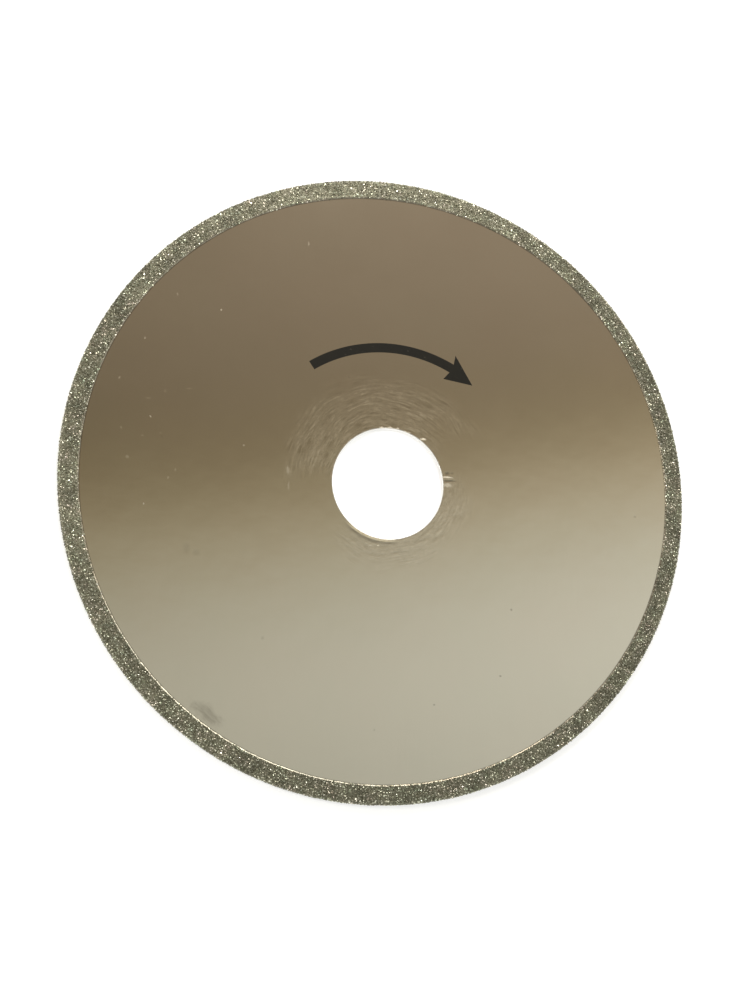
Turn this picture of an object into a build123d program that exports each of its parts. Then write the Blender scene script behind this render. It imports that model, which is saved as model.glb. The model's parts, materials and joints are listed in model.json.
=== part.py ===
from build123d import *
from build123d.topology import SkipClean
import os

# Electroplated diamond cutting blade, in millimetres
# Origin at the centre of the bore, halfway through the plate. +Z is the blade's axis.

# Driving dimensions
blade_diameter = 125.0  # over the grit
bore_diameter = 22.23
bore_chamfer = 0.1
core_thickness = 1.2
core_edge_chamfer = 0.3  # the plate's outer edge is broken, under the coat
band_width = 4.0  # coated band on each face, measured in from the blade's tip
grit_depth = 0.3  # the coat's depth on each face and past the plate's edge
lip_bevel = 0.2  # the coat slopes off where it ends at the mask line

# Sizes that follow
bore_radius = bore_diameter / 2
rim_radius = blade_diameter / 2
mask_radius = rim_radius - band_width
core_radius = rim_radius - grit_depth
coat_thickness = core_thickness + 2 * grit_depth
nose_radius = core_edge_chamfer + grit_depth

os.makedirs("parts", exist_ok=True)

# Section of the plate's edge, out from the mask line. The coat grips this form.
with BuildSketch(Plane.XZ) as plate_edge:
    with Locations(((mask_radius + core_radius) / 2, 0)):
        Rectangle(core_radius - mask_radius, core_thickness)
    chamfer(plate_edge.vertices().group_by(Axis.X)[-1], core_edge_chamfer)

# Plate: the bare disc with its bore, then the edge that is plated.
# Both faces keep a split line at the mask line, where the bare, polished part ends.
with BuildPart() as steel_core:
    with BuildSketch(Plane.XZ) as bare_plate:
        with Locations(((bore_radius + mask_radius) / 2, 0)):
            Rectangle(mask_radius - bore_radius, core_thickness)
        chamfer(bare_plate.vertices().group_by(Axis.X)[0], bore_chamfer)
    revolve(axis=Axis.Z)
    with SkipClean():
        revolve(plate_edge.sketch, axis=Axis.Z, clean=False)

steel_core.part.label = "steel_core"
export_step(steel_core.part, "parts/steel_core.step")

# Coat: a U in section, over both faces and round the plate's edge
with BuildPart() as diamond_rim:
    with BuildSketch(Plane.XZ) as coat:
        with Locations(((mask_radius + rim_radius) / 2, 0)):
            Rectangle(band_width, coat_thickness)
        fillet(coat.vertices().group_by(Axis.X)[-1], nose_radius)
        chamfer(coat.vertices().group_by(Axis.X)[0], lip_bevel)
        add(plate_edge.sketch_local, mode=Mode.SUBTRACT)
    revolve(axis=Axis.Z)

diamond_rim.part.label = "diamond_rim"
export_step(diamond_rim.part, "parts/diamond_rim.step")
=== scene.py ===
import json
import math

import bpy
import numpy as np
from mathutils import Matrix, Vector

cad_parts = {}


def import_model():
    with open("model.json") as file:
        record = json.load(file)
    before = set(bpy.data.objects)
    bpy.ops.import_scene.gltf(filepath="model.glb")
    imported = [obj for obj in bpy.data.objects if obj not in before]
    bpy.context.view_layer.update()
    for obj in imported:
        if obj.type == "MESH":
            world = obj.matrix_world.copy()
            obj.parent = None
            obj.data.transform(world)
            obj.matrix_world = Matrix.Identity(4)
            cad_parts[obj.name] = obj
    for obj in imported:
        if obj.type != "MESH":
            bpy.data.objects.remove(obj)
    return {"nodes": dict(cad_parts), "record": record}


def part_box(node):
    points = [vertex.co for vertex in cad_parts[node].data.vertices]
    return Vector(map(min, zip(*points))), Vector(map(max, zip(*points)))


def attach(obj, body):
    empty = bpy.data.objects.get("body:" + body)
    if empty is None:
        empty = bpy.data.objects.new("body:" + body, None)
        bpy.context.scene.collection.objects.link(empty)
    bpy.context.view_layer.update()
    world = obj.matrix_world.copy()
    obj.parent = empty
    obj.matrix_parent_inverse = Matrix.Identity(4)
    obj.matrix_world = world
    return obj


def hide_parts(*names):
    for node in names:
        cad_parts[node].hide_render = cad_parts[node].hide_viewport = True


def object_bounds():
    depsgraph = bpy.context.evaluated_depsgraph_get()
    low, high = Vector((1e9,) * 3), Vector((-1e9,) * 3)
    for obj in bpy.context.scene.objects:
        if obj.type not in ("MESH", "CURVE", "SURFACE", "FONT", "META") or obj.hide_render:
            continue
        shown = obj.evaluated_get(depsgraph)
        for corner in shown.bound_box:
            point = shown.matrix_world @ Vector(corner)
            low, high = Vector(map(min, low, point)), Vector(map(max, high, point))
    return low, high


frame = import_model()
cad_low, cad_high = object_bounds()

# The scene is in metres. The sizes below are in millimetres and the directions in degrees.
MM = 0.001

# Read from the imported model
_, core_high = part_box("steel_core")
rim_low, rim_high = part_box("diamond_rim")
FACE = core_high.z / MM  # height of the plate's shown face
TOP = rim_high.z / MM  # height of the coat's top
BLADE_RADIUS = min(rim_high.x, rim_high.y, -rim_low.x, -rim_low.y) / MM
BORE_RADIUS = frame["record"]["mounts"][0]["dims"]["r_mm"]
BAND_WIDTH = 4.0
MASK_RADIUS = BLADE_RADIUS - BAND_WIDTH

# The plated bond lies below the grains' tips, which reach the solid's own surface
GRAIN_PROUD = 0.17
BOND_TOP = TOP - GRAIN_PROUD
BOND_RADIUS = BLADE_RADIUS - GRAIN_PROUD
NOSE_RADIUS = 0.43
LIP_WIDTH = 0.26
LIP_RISE = 0.17  # the bond builds up at the mask, a little above its own level
LIP_HIGHLIGHT_TOWARDS = 238.0  # the direction in which the lip's colour is lighter, a painted highlight

rng = np.random.default_rng(7)


# Node helpers

def material(name):
    """A new material with an empty node tree and its output node."""
    made = bpy.data.materials.new(name)
    made.use_nodes = True
    made.node_tree.nodes.clear()
    return made, made.node_tree, made.node_tree.nodes.new("ShaderNodeOutputMaterial")


def put(tree, kind, inputs=None, **settings):
    """A node with its settings and inputs. An input is a value or another node's output."""
    node = tree.nodes.new("ShaderNode" + kind)
    for key, value in settings.items():
        setattr(node, key, value)
    for key, value in (inputs or {}).items():
        fill(tree, node.inputs[key], value)
    return node


def fill(tree, socket, value):
    """Links an output to the socket, or sets a plain value on it."""
    if isinstance(value, bpy.types.NodeSocket):
        tree.links.new(value, socket)
    else:
        socket.default_value = value


def fill_enabled(tree, node, values):
    """Fills the sockets that the node's settings leave enabled, in their order."""
    for socket, value in zip([s for s in node.inputs if s.enabled], values):
        fill(tree, socket, value)


def finish_with(tree, output, shader):
    tree.links.new(shader.outputs[0], output.inputs[0])


def maths(tree, operation, *values, clamp=False):
    node = put(tree, "Math", dict(enumerate(values)), operation=operation, use_clamp=clamp)
    return node.outputs[0]


def add(tree, first, *others):
    total = first
    for value in others:
        total = maths(tree, "ADD", total, value)
    return total


def times(tree, a, b):
    return maths(tree, "MULTIPLY", a, b)


def weighted(tree, start, *terms):
    """start plus each value times its weight, where a term is (value, weight)."""
    return add(tree, start, *[times(tree, value, weight) for value, weight in terms])


def vectors(tree, operation, *values):
    """A vector operation's output: a number for LENGTH, else a vector."""
    node = put(tree, "VectorMath", operation=operation)
    fill_enabled(tree, node, values)
    return node.outputs["Value" if operation == "LENGTH" else "Vector"]


def xyz(tree, *values):
    return put(tree, "CombineXYZ", dict(enumerate(values))).outputs[0]


def grey(tree, value):
    return xyz(tree, value, value, value)


def parts_of(tree, vector):
    return put(tree, "SeparateXYZ", {0: vector}).outputs


def ease(tree, value, low, high, start=0.0, end=1.0):
    """start below low, end above high, and a smooth step between."""
    node = put(
        tree, "MapRange", {0: value, 1: low, 2: high, 3: start, 4: end},
        interpolation_type="SMOOTHSTEP",
    )
    return node.outputs[0]


def fade(tree, value, low, high):
    """1 below low, 0 above high, and a smooth step between."""
    return ease(tree, value, low, high, 1.0, 0.0)


def noise(tree, vector, scale, detail=2.0, roughness=0.5):
    """A noise centred on zero."""
    node = put(tree, "TexNoise", {
        "Vector": vector, "Scale": scale, "Detail": detail, "Roughness": roughness,
    })
    return maths(tree, "SUBTRACT", node.outputs["Fac"], 0.5)


def streaky(tree, vector, scales, **settings):
    """A noise centred on zero, with its own scale along each axis."""
    return noise(tree, vectors(tree, "MULTIPLY", vector, scales), 1.0, **settings)


def ramp(tree, value, stops, blending="EASE"):
    """A colour ramp with (place, colour) stops."""
    node = put(tree, "ValToRGB", {0: value})
    node.color_ramp.interpolation = blending
    points = node.color_ramp.elements
    while len(points) < len(stops):
        points.new(0.5)
    for point, (place, colour) in zip(points, stops):
        point.position = place
        point.color = (*colour, 1)
    return node.outputs[0]


def mix(tree, share, a, b, kind="RGBA"):
    """a and b blended by share: colours, or numbers where kind is FLOAT."""
    node = put(tree, "Mix", data_type=kind)
    fill_enabled(tree, node, (share, a, b))
    return [s for s in node.outputs if s.enabled][0]


def in_mm(tree):
    """The surface point in millimetres, from the blade's centre."""
    place = put(tree, "TexCoord").outputs["Object"]
    node = put(tree, "VectorMath", {0: place, "Scale": 1 / MM}, operation="SCALE")
    return node.outputs[0]


def round_axis(tree, point):
    """A point without its height, its distance from the axis, and its direction's x and y."""
    x, y, _ = parts_of(tree, point)
    flat = xyz(tree, x, y)
    along_x, along_y, _ = parts_of(tree, vectors(tree, "NORMALIZE", flat))
    return flat, vectors(tree, "LENGTH", flat), (along_x, along_y)


def facing(tree, direction, degrees):
    """1 where the direction points towards degrees, 0 square to it and -1 away from it."""
    along_x, along_y = direction
    angle = math.radians(degrees)
    return add(tree, times(tree, along_x, math.cos(angle)), times(tree, along_y, math.sin(angle)))


def near_bore(tree, radius, low, high):
    """1 up to low from the bore's wall, 0 beyond high, and a smooth step between."""
    return fade(tree, radius, BORE_RADIUS + low, BORE_RADIUS + high)


# Plate's looks

# Marks of use on the plate's shown face, and painted glints of light along the bore's edge: x, y, half
# width, half height, and lighter or darker
MARKS_AND_GLINTS = [
    (25.0, -24.2, 0.28, 0.26, -0.42), (22.6, -37.4, 0.30, 0.26, -0.45), (9.2, -43.2, 0.24, 0.24, -0.40),
    (-2.6, -48.1, 0.20, 0.18, -0.30), (51.7, -4.2, 0.32, 0.28, -0.22), (-8.0, 20.9, 0.22, 0.20, -0.25),
    (-24.1, -31.0, 0.30, 0.40, -0.15), (-38.6, -14.4, 0.75, 1.20, -0.11), (-36.8, -15.2, 0.80, 0.70, -0.11),
    (-46.7, -6.3, 0.20, 0.20, 0.40), (-45.9, 10.5, 0.16, 0.24, 0.42), (-49.9, 2.5, 0.36, 0.38, 0.17),
    (-51.2, 8.0, 0.26, 0.34, 0.16), (-47.3, 6.7, 0.34, 0.22, 0.14), (-42.3, -1.1, 0.22, 0.26, 0.18),
    (-41.0, 0.5, 0.20, 0.40, 0.15), (-51.8, 17.6, 0.26, 0.30, 0.34), (-33.1, 32.5, 0.22, 0.26, 0.40),
    (-47.3, 25.7, 0.26, 0.30, 0.36), (-28.3, 5.9, 0.24, 0.28, 0.30), (-41.5, 34.9, 0.22, 0.40, 0.30),
    (-16.3, 47.6, 0.18, 0.60, 0.20), (-19.8, 1.7, 0.30, 0.90, 0.24), (-19.6, -1.4, 0.22, 1.00, 0.22),
    (11.9, 2.7, 0.50, 0.36, -0.55), (12.9, 2.8, 0.40, 0.26, -0.30), (11.9, 1.9, 1.35, 0.22, 0.80),
    (12.2, 1.2, 1.60, 0.24, -0.75), (12.0, 0.3, 1.10, 0.50, 0.45), (7.0, 9.35, 0.70, 0.26, 0.90),
    (-2.0, -12.4, 0.30, 0.16, 0.60), (-3.6, -12.4, 0.36, 0.14, 0.35), (-1.4, 11.2, 0.50, 0.10, 0.80),
    (0.3, 11.3, 0.60, 0.10, 0.90), (1.9, 11.15, 0.40, 0.10, 0.80), (4.2, 10.5, 0.34, 0.14, 0.50),
    (-43.9, 7.4, 0.30, 0.20, 0.12), (-43.7, 6.7, 0.30, 0.22, -0.12), (-46.4, 14.0, 0.60, 0.16, 0.12),
    (-43.3, 15.6, 0.30, 0.44, 0.12), (-38.8, 16.4, 0.70, 0.16, 0.14),
]

# The fans of scuffs round the bore: direction, and how far out from the centre they reach
FANS = [(107.0, 20.5), (295.0, 15.8)]
FAN_SPREAD = (0.15, 0.65)
FAN_FADE = 3.0

# Where the punched edge is rolled over, a painted highlight with a painted shade line outside it:
# direction, spread, and how far out from the bore
EDGE_HIGHLIGHT_TOWARDS = 252.0
EDGE_HIGHLIGHT_SPREAD = (0.86, 0.97)
EDGE_HIGHLIGHT_WIDTH = 0.70

# The greasy patch near the lip
SMUDGE_CENTRE = (-34.3, -45.3)
SMUDGE_HALF = (3.9, 1.6)
SMUDGE_TURN = 40.0

# How far out from the bore its sheared wall and its broken edge fade into the face
WALL_FADE = (0.005, 0.03)
BEVEL_FADE = (0.10, 0.22)

# The steel's two casts, and the rough wall of the bore
STEEL_ROSY = (0.61, 0.54, 0.435, 1)
STEEL_GREEN = (0.595, 0.552, 0.44, 1)
STEEL_SHEARED = (0.93, 0.92, 0.89, 1)


def marks_and_painted_glints(tree, flat, shown):
    """The sum of the soft, uneven marks and painted glints, on the shown face alone."""
    elsewhere = vectors(tree, "ADD", flat, (9.0, 4.0, 0.0))
    shakes = [times(tree, noise(tree, place, 2.0), 0.5) for place in (flat, elsewhere)]
    shaken = vectors(tree, "ADD", flat, xyz(tree, *shakes, 0.0))
    total = 0.0
    for x, y, wide, high, strength in MARKS_AND_GLINTS:
        away = vectors(tree, "SUBTRACT", shaken, (x, y, 0))
        away = vectors(tree, "DIVIDE", away, (wide, high, 1))
        total = add(tree, total, ease(tree, vectors(tree, "LENGTH", away), 0.25, 1.25, strength, 0.0))
    return times(tree, total, shown)


def smudge(tree, flat, shown):
    """A rubbed, greasy patch that trails along the rim, on the shown face alone."""
    away = vectors(tree, "SUBTRACT", flat, (*SMUDGE_CENTRE, 0))
    turned = put(
        tree, "VectorRotate", {"Vector": away, "Angle": math.radians(SMUDGE_TURN)}, rotation_type="Z_AXIS",
    ).outputs[0]
    distance = vectors(tree, "LENGTH", vectors(tree, "DIVIDE", turned, (*SMUDGE_HALF, 1)))
    frayed = weighted(tree, distance, (noise(tree, flat, 0.55, detail=3, roughness=0.6), 1.5))
    streaks = streaky(tree, turned, (0.35, 1.8, 1.0), detail=3, roughness=0.6)
    patch = times(tree, fade(tree, frayed, 0.3, 1.2), weighted(tree, 0.75, (streaks, 1.9)))
    return times(tree, patch, shown)


def scuffs(tree, flat, radius, direction):
    """Strokes and blotches in fans above and below the bore, and how scuffed the face is there."""
    # The strokes are long round the bore and thin across
    wander = times(tree, noise(tree, flat, 0.07, detail=1), 3.5)
    arcs = xyz(
        tree, *[times(tree, part, 5.0) for part in direction], times(tree, add(tree, radius, wander), 2.1),
    )
    strokes = noise(tree, arcs, 1.0, detail=3, roughness=0.62)
    broken = ease(tree, noise(tree, flat, 0.55, detail=2), -0.16, 0.10, 0.25, 1.25)
    strokes = times(tree, strokes, broken)
    reach = weighted(tree, radius, (noise(tree, flat, 0.22, detail=2), 7.0))
    turn = times(tree, noise(tree, flat, 0.12, detail=1), 0.8)
    scuffed = 0.0
    for degrees, far in FANS:
        towards = add(tree, facing(tree, direction, degrees), turn)
        within = fade(tree, reach, far - FAN_FADE, far + FAN_FADE)
        scuffed = add(tree, scuffed, times(tree, ease(tree, towards, *FAN_SPREAD), within))
    blotches = times(tree, noise(tree, flat, 1.1, detail=3, roughness=0.65), scuffed)
    return times(tree, strokes, scuffed), blotches, scuffed


def painted_edge_highlight(tree, radius, direction, shown):
    """The bore's edge on the shown face, towards one side: a painted highlight, with a painted shade line
    outside it.
    """
    where = times(tree, ease(tree, facing(tree, direction, EDGE_HIGHLIGHT_TOWARDS), *EDGE_HIGHLIGHT_SPREAD), shown)
    bright = near_bore(tree, radius, EDGE_HIGHLIGHT_WIDTH * 0.5, EDGE_HIGHLIGHT_WIDTH)
    dark = near_bore(tree, radius, EDGE_HIGHLIGHT_WIDTH, EDGE_HIGHLIGHT_WIDTH * 2)
    return times(tree, where, weighted(tree, bright, (dark, -0.35)))


def plate_material():
    """Polished steel: a warm mirror, scuffed round the bore where the flanges clamp it."""
    made, tree, output = material("polished_steel")
    point = in_mm(tree)
    flat, radius, direction = round_axis(tree, point)
    shown = ease(tree, parts_of(tree, point)[2], 0, FACE * 0.5)
    strokes, blotches, scuffed = scuffs(tree, flat, radius, direction)
    marks_and_glints = marks_and_painted_glints(tree, flat, shown)
    greasy = smudge(tree, flat, shown)
    edge_highlight = painted_edge_highlight(tree, radius, direction, shown)

    # The whole face: a slow haze, rubbing lines and a surface that isn't quite flat
    haze = noise(tree, flat, 0.05, detail=4, roughness=0.6)
    rubbed = streaky(tree, flat, (2.2, 0.12, 1.0), detail=3, roughness=0.6)
    wavy = noise(tree, flat, 0.11, detail=2)
    ripple = streaky(tree, flat, (0.45, 0.9, 1.0), detail=2)

    # The bore's broken edge and its sheared wall are rougher than the faces
    at_bore = near_bore(tree, radius, *BEVEL_FADE)
    on_wall = near_bore(tree, radius, *WALL_FADE)
    # The bevel between the face and the wall is darkened: painted shade along the bore's edge
    bevel_painted_shade = maths(tree, "SUBTRACT", at_bore, on_wall, clamp=True)
    # Burrs on the broken edge: a real bump, and lighter and darker bits in the colour that are painted
    # glints
    burrs_and_glints = times(tree, noise(tree, point, 2.2, detail=3, roughness=0.75), at_bore)

    # Lighter and darker places, among them painted glints, a painted highlight and painted shade at the
    # bore's edge and painted shade at the lip's foot. A tone of 0.5 leaves the steel's colour as it is.
    # Painted shade along the foot of the lip, where the lip meets the plate
    lip_foot_painted_shade = ease(tree, radius, MASK_RADIUS - 0.16, MASK_RADIUS + 0.02, 0.0, -0.38)
    tone = add(tree, weighted(
        tree, 0.5, (strokes, 0.62), (blotches, 0.20), (haze, 0.05), (rubbed, 0.025), (marks_and_glints, 0.62),
        (burrs_and_glints, 1.3), (bevel_painted_shade, -0.30), (edge_highlight, 0.9), (greasy, -0.24),
    ), lip_foot_painted_shade)
    shade = put(tree, "MapRange", {0: tone, 1: -0.3, 2: 1.3, 3: 0.12, 4: 1.88}, clamp=True).outputs[0]
    tint = noise(tree, vectors(tree, "ADD", flat, (40.0, 0.0, 0.0)), 0.045, detail=3)
    steel = mix(tree, weighted(tree, 0.5, (tint, 0.9)), STEEL_ROSY, STEEL_GREEN)
    colour = vectors(tree, "MULTIPLY", steel, grey(tree, shade))
    colour = mix(tree, on_wall, colour, STEEL_SHEARED)

    height = weighted(
        tree, 0.0, (strokes, 0.0075), (blotches, 0.008), (wavy, 0.020), (ripple, 0.0014), (rubbed, 0.0006),
        (marks_and_glints, 0.006), (burrs_and_glints, 0.10),
    )
    bump = put(tree, "Bump", {"Strength": 1.0, "Distance": MM, "Height": height})
    worn = maths(tree, "MAXIMUM", marks_and_glints, times(tree, marks_and_glints, -0.15))
    roughness = weighted(
        tree, 0.115, (haze, 0.04), (scuffed, 0.045), (strokes, 0.18), (worn, 0.45), (at_bore, 0.2),
        (greasy, 0.10),
    )
    finish_with(tree, output, put(tree, "BsdfPrincipled", {
        "Base Color": colour, "Metallic": 1.0, "Roughness": roughness, "Normal": bump.outputs[0],
    }))
    return made


# Coat's looks

# Nickel between the grains by its height, darker where it is low as painted shade, and the lip's own colour
# and its lighter, painted highlight
NICKEL_AND_PAINTED_SHADE = [(0.3, (0.085, 0.08, 0.05)), (0.7, (0.26, 0.25, 0.185))]
DULL_LIP = (0.27, 0.235, 0.175, 1)
LIP_PAINTED_HIGHLIGHT = (0.36, 0.335, 0.265, 1)

# The grains' colours, from the darkest grain to the brightest, and the two casts they lie between
GRAIN_COLOURS = [
    (0.0, (0.13, 0.125, 0.082)), (0.45, (0.34, 0.325, 0.25)), (0.75, (0.58, 0.56, 0.45)),
    (1.0, (0.88, 0.85, 0.73)),
]
GRAIN_GREEN = (0.90, 1.06, 0.94, 1)
GRAIN_ROSY = (1.10, 0.95, 1.00, 1)


def clumps(tree, point):
    """Grey patches a few grains across, where the coat is duller or brighter."""
    return grey(tree, weighted(tree, 1.0, (noise(tree, point, 0.30, detail=2), 1.1)))


def bond_material():
    """Plated nickel: dull, lumpy and darkened by painted shade between the grains, and smooth at the lip
    with a painted highlight towards one side.
    """
    made, tree, output = material("nickel_bond")
    point = in_mm(tree)
    _, radius, direction = round_axis(tree, point)
    at_lip = fade(tree, radius, MASK_RADIUS + LIP_WIDTH * 0.9, MASK_RADIUS + LIP_WIDTH * 1.4)
    lumps = noise(tree, point, 3.2, detail=3, roughness=0.6)
    # The nickel is darker where its lumps are low: painted shade in the hollows between the grains
    between = ramp(tree, add(tree, lumps, 0.5), NICKEL_AND_PAINTED_SHADE)
    # The lip's colour is lighter towards one side: a painted highlight
    lip_highlight = ease(tree, facing(tree, direction, LIP_HIGHLIGHT_TOWARDS), 0.75, 0.95)
    colour = mix(tree, at_lip, between, mix(tree, lip_highlight, DULL_LIP, LIP_PAINTED_HIGHLIGHT))
    deep = mix(tree, at_lip, 0.10, 0.03, "FLOAT")
    bump = put(tree, "Bump", {"Strength": 0.9, "Distance": MM, "Height": times(tree, lumps, deep)})
    finish_with(tree, output, put(tree, "BsdfPrincipled", {
        "Base Color": vectors(tree, "MULTIPLY", colour, clumps(tree, point)), "Metallic": 0.95,
        "Roughness": mix(tree, at_lip, 0.45, 0.25, "FLOAT"), "Normal": bump.outputs[0],
    }))
    return made


def grit_material():
    """Diamond grains, each with its own tone, dusted with nickel."""
    made, tree, output = material("diamond_grit")
    tone = put(tree, "Attribute", attribute_name="tone").outputs["Fac"]
    colour = ramp(tree, tone, GRAIN_COLOURS, "LINEAR")
    point = in_mm(tree)
    tint = times(tree, noise(tree, point, 0.5, detail=3, roughness=0.7), 2.0)
    cast = mix(tree, add(tree, 0.5, tint), GRAIN_GREEN, GRAIN_ROSY)
    colour = vectors(tree, "MULTIPLY", vectors(tree, "MULTIPLY", colour, cast), clumps(tree, point))
    finish_with(tree, output, put(tree, "BsdfPrincipled", {
        "Base Color": colour, "Metallic": 0.8, "Roughness": 0.25,
    }))
    return made


# Print's looks

# The ink where it is thick and thin, and the steel that its pinholes show
INK_THICK = (0.006, 0.005, 0.003, 1)
INK_THIN = (0.013, 0.011, 0.006, 1)
STEEL_UNDER_INK = (0.48, 0.436, 0.352, 1)


def ink_material():
    """Black print with a matt surface, worn through to the steel in pinholes."""
    made, tree, output = material("black_print")
    point = in_mm(tree)
    pinholes = ease(tree, noise(tree, point, 2.4, detail=3, roughness=0.7), 0.20, 0.27)
    thin = add(tree, 0.5, noise(tree, point, 0.5, detail=4, roughness=0.7))
    ink = mix(tree, thin, INK_THICK, INK_THIN)
    finish_with(tree, output, put(tree, "BsdfPrincipled", {
        "Base Color": mix(tree, pinholes, ink, STEEL_UNDER_INK), "Metallic": pinholes,
        "Roughness": mix(tree, pinholes, 0.5, 0.25, "FLOAT"), "Specular IOR Level": 0.2,
    }))
    return made


# Meshes

def add_piece(name, mesh, look):
    """A piece of the blade that rides with its root."""
    mesh.materials.append(look)
    piece = bpy.data.objects.new(name, mesh)
    bpy.context.scene.collection.objects.link(piece)
    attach(piece, "root")
    return piece


def mesh_piece(name, points, faces, look, tones=None, smooth=False):
    """A piece from points in millimetres and faces that all have as many corners."""
    mesh = bpy.data.meshes.new(name)
    faces = np.asarray(faces, np.int32)
    corners = faces.shape[1]
    mesh.vertices.add(len(points))
    mesh.vertices.foreach_set("co", (np.asarray(points) * MM).astype(np.float32).ravel())
    mesh.loops.add(faces.size)
    mesh.loops.foreach_set("vertex_index", faces.ravel())
    mesh.polygons.add(len(faces))
    mesh.polygons.foreach_set("loop_start", np.arange(len(faces), dtype=np.int32) * corners)
    mesh.polygons.foreach_set("use_smooth", np.full(len(faces), smooth))
    if tones is not None:
        layer = mesh.attributes.new("tone", "FLOAT", "POINT")
        layer.data.foreach_set("value", np.asarray(tones, np.float32))
    mesh.update(calc_edges=True)
    mesh.validate()
    return add_piece(name, mesh, look)


# Bond

# The lip's section, as shares of its width and its rise, and the widths from the mask to the
# level part of the bond
LIP_SECTION = [(0, 0), (0.25, 0.25), (0.5, 0.5), (0.75, 0.75), (0.95, 0.93), (1.15, 1), (1.5, 0.97)]
LEVEL_FROM = 2.4
LEVEL_POINTS = 14
NOSE_STEPS = 6

RING_SEGMENTS = 1200
RING_INNER = BOND_RADIUS - 0.35  # inside the plate's edge

# The lip's line: waves of (height, number in a turn, phase), and how ragged it is between them
LIP_WAVES = [(0.03, 7, 0.4), (0.03, 23, 1.9), (0.03, 61, 4.0)]
LIP_RAGGED = 0.06
LIP_REACH = 0.5  # how far out from the mask the line still moves the bond


def outline(level_points):
    """The bond's outer profile from the top face's lip to the bottom's, as points (r, z)."""
    lip = [(MASK_RADIUS + LIP_WIDTH * across, FACE + LIP_RISE * up) for across, up in LIP_SECTION]
    level_end = BOND_RADIUS - NOSE_RADIUS
    level = [(r, BOND_TOP)
             for r in np.linspace(MASK_RADIUS + LIP_WIDTH * LEVEL_FROM, level_end, level_points)]
    nose = [(level_end + NOSE_RADIUS * math.sin(a), BOND_TOP - NOSE_RADIUS * (1 - math.cos(a)))
            for a in np.linspace(0, math.pi / 2, NOSE_STEPS + 1)[1:]]
    upper = lip + level + nose
    return np.array(upper + [(r, -z) for r, z in reversed(upper)])


def bond_ring(look):
    """The plated ring, closed inside the plate's edge."""
    profile = np.vstack([outline(LEVEL_POINTS), [(RING_INNER, -FACE), (RING_INNER, FACE)]])
    angles = np.arange(RING_SEGMENTS) * 2 * math.pi / RING_SEGMENTS
    wave = sum(high * np.sin(number * angles + phase) for high, number, phase in LIP_WAVES)
    ragged = rng.normal(0, LIP_RAGGED, RING_SEGMENTS)
    wave = wave + (np.roll(ragged, 1) + 2 * ragged + np.roll(ragged, -1)) / 4
    near_lip = np.clip((MASK_RADIUS + LIP_REACH - profile[:, 0]) / LIP_REACH, 0, 1)
    radii = profile[None, :, 0] + near_lip[None, :] * np.abs(wave)[:, None]
    x = radii * np.cos(angles)[:, None]
    y = radii * np.sin(angles)[:, None]
    z = np.broadcast_to(profile[:, 1], radii.shape)
    points = np.stack([x, y, z], 2).reshape(-1, 3)
    rows = len(profile)
    i, j = np.meshgrid(np.arange(RING_SEGMENTS), np.arange(rows), indexing="ij")
    after_i, after_j = (i + 1) % RING_SEGMENTS, (j + 1) % rows
    faces = np.stack([i * rows + j, i * rows + after_j, after_i * rows + after_j, after_i * rows + j], 2)
    piece = mesh_piece("rim_bond", points, faces.reshape(-1, 4), look, smooth=True)
    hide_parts("diamond_rim")


# Grains

GRAIN_SPACING = 0.45
ROW_SPACING = GRAIN_SPACING * 0.866  # of an even triangular pattern
GRAIN_HALF = (0.15, 0.25)
GRAIN_SQUASH = (0.70, 1.20)
CORNER_SHIFT = 0.014
SHARE_PROUD = (0.35, 0.95)  # how much of GRAIN_PROUD a grain's tip stands out
GRAIN_TONES = (1.1, 1.5)  # the two numbers of a beta spread, with more dark grains than bright
JITTER_ROUND, JITTER_ACROSS = 0.42, 0.40  # shares of the spacing
SLOPE_STEP = 0.02


def crystal():
    """A cuboctahedron: 12 corners and 20 triangles, its squares cut in two."""
    sides = (-1, 1)
    corners = np.array([(x, y, 0) for x in sides for y in sides]
                       + [(x, 0, z) for x in sides for z in sides]
                       + [(0, y, z) for y in sides for z in sides], float) / math.sqrt(2)
    faces = []
    for signs in [(a, b, c) for a in sides for b in sides for c in sides]:
        faces.append(list(np.argsort(-(corners @ np.array(signs)))[:3]))
    for axis in range(3):
        for side in sides:
            ring = np.where(corners[:, axis] * side > 0.5)[0]
            others = [k for k in range(3) if k != axis]
            ring = ring[np.argsort(np.arctan2(corners[ring][:, others[1]], corners[ring][:, others[0]]))]
            faces += [[ring[0], ring[1], ring[2]], [ring[0], ring[2], ring[3]]]
    turned = []
    for face in faces:
        a, b, c = corners[face]
        outward = np.dot(np.cross(b - a, c - a), a + b + c) > 0
        turned.append(face if outward else face[::-1])
    return corners, np.array(turned)


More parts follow.
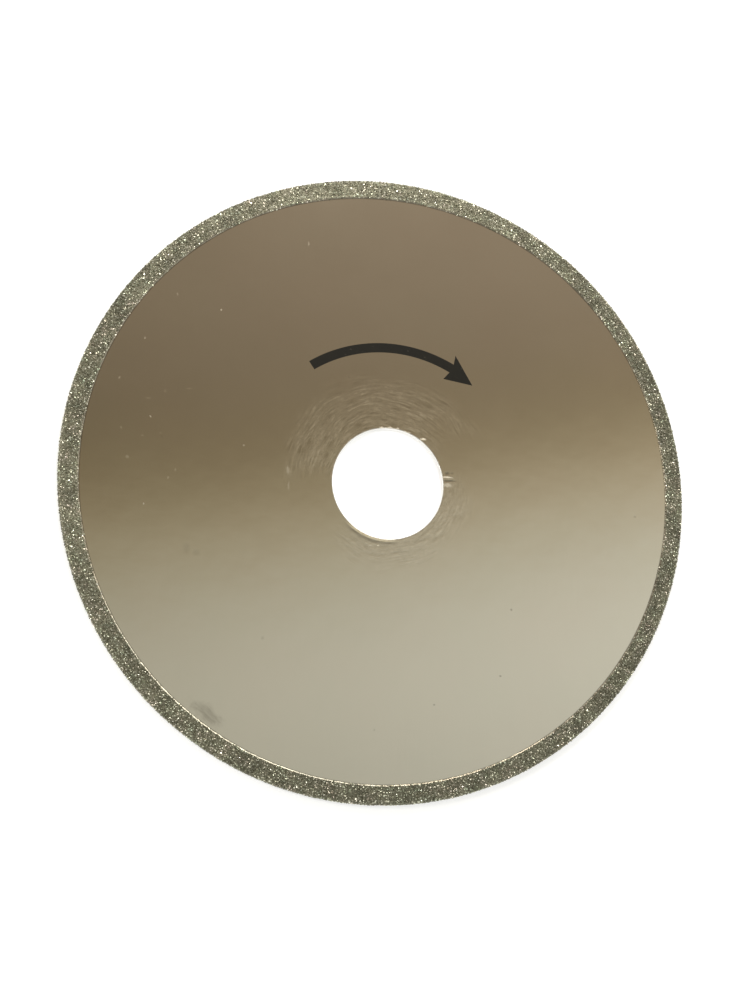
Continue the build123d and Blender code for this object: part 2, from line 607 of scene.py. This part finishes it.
def scattered():
    """Grain places over the bond: angle, r, z and the normal's r and z, in staggered rows with jitter."""
    profile = outline(60)
    steps = np.linalg.norm(np.diff(profile, axis=0), axis=1)
    along = np.concatenate([[0], np.cumsum(steps)])
    upper = len(profile) // 2

    def at(way):
        return np.interp(way, along, profile[:, 0]), np.interp(way, along, profile[:, 1])

    start = np.interp(MASK_RADIUS + LIP_WIDTH * 0.3, profile[:upper, 0], along[:upper])
    end = along[-1] - start
    rows = int((end - start) / ROW_SPACING)
    places = []
    for row in range(rows):
        way = start + (row + 0.5) * (end - start) / rows
        r, _ = at(way)
        count = int(2 * math.pi * r / GRAIN_SPACING)
        theta = (np.arange(count) + 0.5 * (row % 2)) * 2 * math.pi / count
        theta = theta + rng.uniform(-JITTER_ROUND, JITTER_ROUND, count) * GRAIN_SPACING / r
        # The grains stop short of the mask, by more in some places and most towards the lip's painted
        # highlight
        bare = 0.09 + 0.05 * (np.sin(9 * theta) + np.sin(31 * theta + 1) + np.sin(77 * theta + 2))
        bare += 0.12 * np.clip(np.cos(theta - math.radians(LIP_HIGHLIGHT_TOWARDS)), 0, 1) ** 3
        bare = np.clip(bare, 0, None)
        jitter = rng.uniform(-JITTER_ACROSS, JITTER_ACROSS, count) * GRAIN_SPACING
        way = np.clip(way + jitter, start + bare, end - bare)
        r, z = at(way)
        (r_after, z_after), (r_before, z_before) = at(way + SLOPE_STEP), at(way - SLOPE_STEP)
        dr, dz = r_after - r_before, z_after - z_before
        size = np.hypot(dr, dz) + 1e-9
        places.append(np.stack([theta, r, z, -dz / size, dr / size], 1))
    return np.vstack(places)


def turns(count):
    """Random rotation matrices."""
    q = rng.normal(size=(count, 4))
    q /= np.linalg.norm(q, axis=1)[:, None]
    w, x, y, z = q.T
    return np.stack([
        np.stack([1 - 2 * (y * y + z * z), 2 * (x * y - z * w), 2 * (x * z + y * w)], 1),
        np.stack([2 * (x * y + z * w), 1 - 2 * (x * x + z * z), 2 * (y * z - x * w)], 1),
        np.stack([2 * (x * z - y * w), 2 * (y * z + x * w), 1 - 2 * (x * x + y * y)], 1),
    ], 1)


def grit(look):
    """Every grain, in three pieces: the two faces and the edge."""
    places = scattered()
    theta, r, z, nr, nz = places.T
    count = len(places)
    corners, faces = crystal()
    half = rng.uniform(*GRAIN_HALF, count)
    squash = rng.uniform(*GRAIN_SQUASH, (count, 1, 3))
    local = corners[None] * squash * half[:, None, None]
    local += rng.normal(0, CORNER_SHIFT, local.shape)
    local = np.einsum("nij,nkj->nki", turns(count), local)
    outward = np.stack([nr * np.cos(theta), nr * np.sin(theta), nz], 1)
    # Each grain's highest corner stands just proud of the bond
    tip = np.einsum("nkj,nj->nk", local, outward).max(1)
    proud = rng.uniform(*SHARE_PROUD, count) * GRAIN_PROUD
    centre = np.stack([r * np.cos(theta), r * np.sin(theta), z], 1) + outward * (proud - tip)[:, None]
    points = local + centre[:, None, :]
    points[:, :, 2] = np.clip(points[:, :, 2], -TOP, TOP)
    tones = rng.beta(*GRAIN_TONES, count)
    edge = BOND_RADIUS - NOSE_RADIUS * 0.5
    zones = {
        "grit_top": (z > 0) & (r < edge),
        "grit_bottom": (z < 0) & (r < edge),
        "grit_edge": r >= edge,
    }
    for name, chosen in zones.items():
        grains = int(chosen.sum())
        base = np.arange(grains)[:, None, None] * len(corners)
        piece = mesh_piece(name, points[chosen].reshape(-1, 3), (faces[None] + base).reshape(-1, 3), look,
                           tones=np.repeat(tones[chosen], len(corners)))
        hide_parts("diamond_rim")
        print(name, grains, "grains", grains * len(faces), "triangles")


# Print

# The arrow that gives the direction of turning
ARROW_RADIUS = 27.5
ARROW_STROKE = 1.9
ARROW_FROM, ARROW_TO = 124.0, 62.0
ARROW_STEPS = 62
HEAD_LENGTH = 5.4
HEAD_WIDTH = 5.6
HEAD_SWEEP = 0.5  # the head's wings lie this far behind the stroke's end
TIP_INWARD = 0.3
INK_DEPTH = 0.02


def arrow(look):
    """A plain curved arrow, printed on the shown face, as a thin closed layer."""
    # The stroke's two sides from its tail on, then the head's wings and tip, as (radius, degrees)
    sides = (ARROW_RADIUS - ARROW_STROKE / 2, ARROW_RADIUS + ARROW_STROKE / 2)
    places = [(r, degrees) for degrees in np.linspace(ARROW_FROM, ARROW_TO, ARROW_STEPS + 1) for r in sides]
    swept = ARROW_TO + math.degrees(HEAD_SWEEP / ARROW_RADIUS)
    ahead = ARROW_TO - math.degrees(HEAD_LENGTH / ARROW_RADIUS)
    places += [(ARROW_RADIUS - HEAD_WIDTH / 2, swept), (ARROW_RADIUS + HEAD_WIDTH / 2, swept),
               (ARROW_RADIUS - TIP_INWARD, ahead)]
    count = len(places)
    inner, outer, inner_wing, outer_wing, tip = range(count - 5, count)

    under = [(k, k + 1, k + 3, k + 2) for k in range(0, inner, 2)]
    under += [(inner_wing, inner, tip), (inner, outer, tip), (outer, outer_wing, tip)]
    over = [(face[0] + count, *[k + count for k in face[:0:-1]]) for face in under]
    border = [*range(0, inner + 1, 2), inner_wing, tip, outer_wing, *range(outer, 0, -2)]
    walls = [(b, b + count, a + count, a) for a, b in zip(border, border[1:] + border[:1])]

    low = FACE - INK_DEPTH / 4  # the layer's underside lies just inside the plate
    points = [(r * math.cos(math.radians(degrees)) * MM, r * math.sin(math.radians(degrees)) * MM, z * MM)
              for z in (low, low + INK_DEPTH) for r, degrees in places]
    mesh = bpy.data.meshes.new("direction_arrow")
    mesh.from_pydata(points, [], under + over + walls)
    add_piece("direction_arrow", mesh, look)


core = frame["nodes"]["steel_core"]
core.data.materials.clear()
core.data.materials.append(plate_material())
bond_ring(bond_material())
grit(grit_material())
arrow(ink_material())


# Floor

FLOOR_HALF = 2.5  # in metres
FLOOR_DROP = 0.01  # below the blade's underside
FLOOR_COLOUR = (0.86, 0.86, 0.86, 1)

# How much brighter the floor shows than its light makes it, under the blade and far from it,
# and between which distances that changes, in metres
FLOOR_GLOW = (0.42, 0.48)
GLOW_FROM, GLOW_TO = 0.1, 0.7


def floor_material():
    """A pale floor, brighter where it is seen directly or in metal, so it is white with a shadow."""
    made, tree, output = material("pale_floor")
    rays = put(tree, "LightPath").outputs
    mirrored = maths(tree, "MAXIMUM", rays["Is Glossy Ray"], rays["Is Transmission Ray"])
    seen = maths(tree, "MAXIMUM", rays["Is Camera Ray"], mirrored)
    diffuse = put(tree, "BsdfDiffuse", {"Color": FLOOR_COLOUR})
    away = vectors(tree, "LENGTH", put(tree, "TexCoord").outputs["Object"])
    strength = times(tree, seen, ease(tree, away, GLOW_FROM, GLOW_TO, *FLOOR_GLOW))
    glow = put(tree, "Emission", {"Color": (1, 1, 1, 1), "Strength": strength})
    finish_with(tree, output, put(tree, "AddShader", {0: diffuse.outputs[0], 1: glow.outputs[0]}))
    return made


def floor():
    mesh = bpy.data.meshes.new("floor")
    low = cad_low.z - FLOOR_DROP * MM
    corners = [(-FLOOR_HALF, -FLOOR_HALF, low), (FLOOR_HALF, -FLOOR_HALF, low),
               (FLOOR_HALF, FLOOR_HALF, low), (-FLOOR_HALF, FLOOR_HALF, low)]
    mesh.from_pydata(corners, [], [(0, 1, 2, 3)])
    mesh.materials.append(floor_material())
    made = bpy.data.objects.new("floor", mesh)
    bpy.context.scene.collection.objects.link(made)


floor()


# Light

# The ceiling's colour across the room, from above the viewer to the far side
CEILING = [
    (0.44, (0.56, 0.57, 0.53)), (0.50, (0.63, 0.65, 0.60)), (0.56, (0.68, 0.69, 0.64)),
    (0.62, (0.60, 0.61, 0.54)), (0.68, (0.49, 0.43, 0.305)), (0.73, (0.245, 0.20, 0.12)),
    (0.79, (0.262, 0.218, 0.165)), (0.88, (0.345, 0.29, 0.225)),
]
CEILING_SLANT = 0.12

# What the ceiling is multiplied by at its left and its right, and between which places it changes
LEFT_SIDE = (0.80, 0.795, 0.765, 1)
RIGHT_SIDE = (1.56, 1.59, 1.72, 1)
LEFT_END, RIGHT_START = -0.2, 0.6

# The white walls fade into the ceiling between these heights, where 1 is straight above
WALL_HEIGHT = (0.42, 0.72)

# Oval lamps in metres and watts: name, place, width, height, power and colour
LAMPS = [
    ("window", (0.58, 0.78, 0.33), 0.95, 0.36, 4.0, (1.0, 0.98, 0.93)),
    ("desk_lamp", (0.02, 0.21, 0.16), 0.07, 0.07, 0.21, (1.0, 0.98, 0.95)),
    ("fill", (-0.16, 0.01, 0.15), 0.05, 0.05, 0.10, (1.0, 0.98, 0.95)),
]


def world():
    """A white-walled room, with a ceiling that is bright above the viewer and warm and dim beyond."""
    made = bpy.data.worlds.new("room")
    made.use_nodes = True
    tree = made.node_tree
    tree.nodes.clear()
    output = put(tree, "OutputWorld")
    x, y, z = parts_of(tree, put(tree, "TexCoord").outputs["Generated"])
    across = maths(tree, "SUBTRACT", y, times(tree, x, CEILING_SLANT))
    overhead = ramp(tree, add(tree, across, 0.5), CEILING, "B_SPLINE")
    share = put(tree, "MapRange", {0: x, 1: LEFT_END, 2: RIGHT_START}, clamp=True).outputs[0]
    overhead = vectors(tree, "MULTIPLY", overhead, mix(tree, share, LEFT_SIDE, RIGHT_SIDE))
    colour = mix(tree, fade(tree, z, *WALL_HEIGHT), overhead, (1, 1, 1, 1))
    finish_with(tree, output, put(tree, "Background", {"Color": colour, "Strength": 1.0}))
    bpy.context.scene.world = made


def lamp(name, place, wide, high, watts, colour):
    """An oval lamp that points at the blade's centre and isn't seen by the camera."""
    data = bpy.data.lights.new(name, "AREA")
    data.shape = "ELLIPSE"
    data.size = wide
    data.size_y = high
    data.energy = watts
    data.color = colour
    made = bpy.data.objects.new(name, data)
    made.location = place
    back = made.location - (cad_low + cad_high) / 2
    made.rotation_euler = back.to_track_quat("Z", "Y").to_euler()
    made.visible_camera = False
    bpy.context.scene.collection.objects.link(made)


world()
for values in LAMPS:
    lamp(*values)


# Camera

def camera():
    """The photograph's view: from the near left, almost straight down."""
    data = bpy.data.cameras.new("camera")
    data.sensor_width = 36.0
    data.lens = 44.5
    data.shift_x = -0.0477
    data.shift_y = 0.1032
    data.clip_start = 0.01
    data.clip_end = 20
    made = bpy.data.objects.new("camera", data)
    made.location = (-48.9 * MM, -55.0 * MM, 232.8 * MM)
    made.rotation_euler = (math.radians(7.52), math.radians(-13.45), 0)
    bpy.context.scene.collection.objects.link(made)
    bpy.context.scene.camera = made


camera()

bpy.context.scene.view_settings.view_transform = "Standard"
